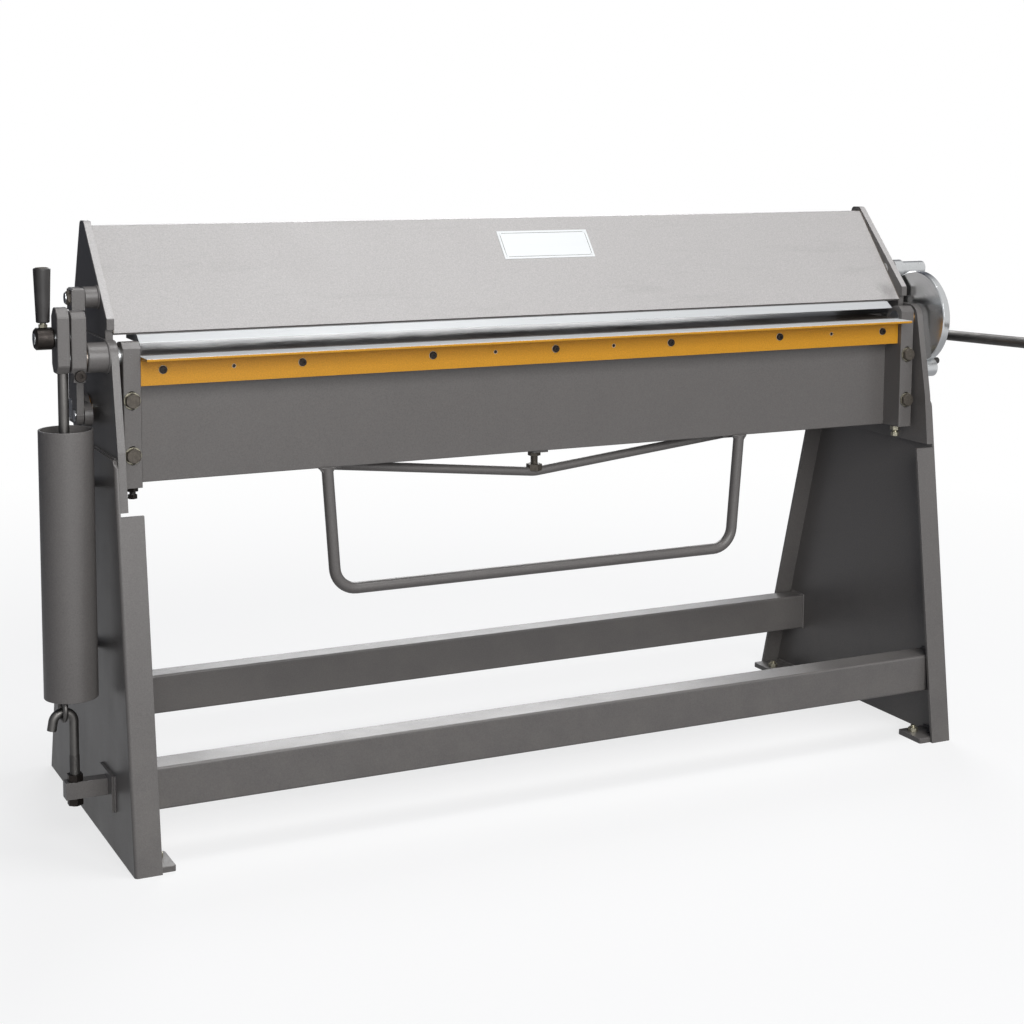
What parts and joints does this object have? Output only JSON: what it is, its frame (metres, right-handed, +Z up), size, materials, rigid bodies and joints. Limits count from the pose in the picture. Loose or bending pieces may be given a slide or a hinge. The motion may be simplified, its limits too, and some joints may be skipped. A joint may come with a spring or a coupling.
{
  "type": "sheet metal folder",
  "caption": "Floor standing manual sheet metal folder with a clamping beam on a lever shaft, a folding apron with a pull handle and a spring balance",
  "frame": {"origin": "floor level, midway between the four anchor holes of the foot plates", "axes": "+X along the working length to the operator's right, +Y from the operator to the back, +Z up"},
  "size_m": [1.863, 0.8854, 1.058],
  "materials": {
    "body_paint": "metallic grey hammered paint, satin",
    "light_paint": "light grey fine textured paint",
    "orange_paint": "signal orange paint, flat leg ground bright on top",
    "ground_steel": "surface ground along the length",
    "turned_steel": "turned bright steel",
    "raw_steel": "dull drawn steel",
    "black_oxide": "black oxide",
    "yellow_zinc": "yellow passivated zinc",
    "bronze": "plain bearing bronze",
    "label_metal": "pale anodised plate, bare",
    "black_plastic": "moulded black plastic"
  },
  "bodies": {
    "frame": {"right_leg": "body_paint", "left_leg": "body_paint", "foot_plates": "body_paint", "levelling_screws": "yellow_zinc", "front_stretcher": "body_paint", "rear_stretcher": "body_paint", "head_plates": "body_paint", "bed_beam": "body_paint", "bed_blade": "ground_steel", "bed_screws": "black_oxide", "bed_table": "body_paint", "beam_guides": "body_paint", "bearing_bushes": "bronze", "left_pivot_boss": "body_paint", "stop_disc": "turned_steel", "stop_disc_screws": "black_oxide", "parking_boss": "turned_steel", "spring_bracket": "body_paint", "hook_bolt": "raw_steel", "hook_bolt_nuts": "black_oxide", "spring_tube": "body_paint", "balance_spring": "raw_steel"},
    "clamping_beam": {"beam_cheeks": "body_paint", "beam_front_sheet": "light_paint", "beam_rear_sheet": "light_paint", "beam_floor": "body_paint", "beam_ribs": "body_paint", "clamping_blade": "ground_steel", "beam_screws": "black_oxide", "label_plate": "label_metal", "lift_links": "body_paint", "beam_pins": "turned_steel", "beam_pin_bosses": "body_paint"},
    "lift_shaft": {"lift_shaft": "turned_steel", "lift_cranks": "body_paint", "crank_pins": "turned_steel", "lift_lever": "raw_steel", "lever_grip": "black_plastic"},
    "apron": {"apron_plate": "body_paint", "apron_top_bar": "body_paint", "folding_angle": "orange_paint", "folding_angle_screws": "black_oxide", "grub_screws": "black_oxide", "apron_end_blocks": "body_paint", "block_bolts": "yellow_zinc", "block_washers": "yellow_zinc", "block_adjusters": "yellow_zinc", "truss_rod": "body_paint", "truss_screw": "yellow_zinc", "pull_handle": "body_paint", "apron_pivot_shafts": "turned_steel", "stop_arm": "body_paint", "balance_arm": "body_paint", "balance_stud": "turned_steel"},
    "spring_rod": {"spring_rod": "raw_steel", "spring_rod_eye": "body_paint"},
    "clamp_handle": {"clamp_handle_hub": "black_oxide", "clamp_handle_grip": "black_plastic"},
    "stop_plunger": {"plunger_pin": "black_plastic"},
    "stop_pin": {"index_pin": "turned_steel"}
  },
  "joints": [
    {"name": "beam_lift", "type": "slide", "parent": "frame", "child": "clamping_beam", "axis": [0, 0, 1], "range_m": [-0.0195, 0.027]},
    {"name": "lift_shaft_turn", "type": "hinge", "parent": "frame", "child": "lift_shaft", "pos_m": [0, -0.027, 0.739], "axis": [-1, 0, 0], "range_deg": [-21.2, 29.3]},
    {"name": "apron_turn", "type": "hinge", "parent": "frame", "child": "apron", "pos_m": [0, -0.1615, 0.842], "axis": [-1, 0, 0], "range_deg": [0, 90], "deforming": ["balance_spring"]},
    {"name": "spring_rod_swivel", "type": "hinge", "parent": "apron", "child": "spring_rod", "pos_m": [-0.902, -0.1615, 0.877], "axis": [-1, 0, 0], "range_deg": [-90.5, 0.5]},
    {"name": "clamp_handle_turn", "type": "hinge", "parent": "apron", "child": "clamp_handle", "pos_m": [-0.93, -0.1615, 0.877], "axis": [-1, 0, 0], "range_deg": [-60, 60]},
    {"name": "stop_plunger_pull", "type": "slide", "parent": "frame", "child": "stop_plunger", "axis": [1, 0, 0], "range_m": [0, 0.01], "stiffness_N_per_m": 600},
    {"name": "stop_pin_pull", "type": "slide", "parent": "frame", "child": "stop_pin", "axis": [1, 0, 0], "range_m": [0, 0.0105]}
  ],
  "couplings": [
    {"joint": "lift_shaft_turn", "follows": "beam_lift", "rad_per_m": 18.79},
    {"joint": "spring_rod_swivel", "follows": "apron_turn", "ratio": -1}
  ]
}
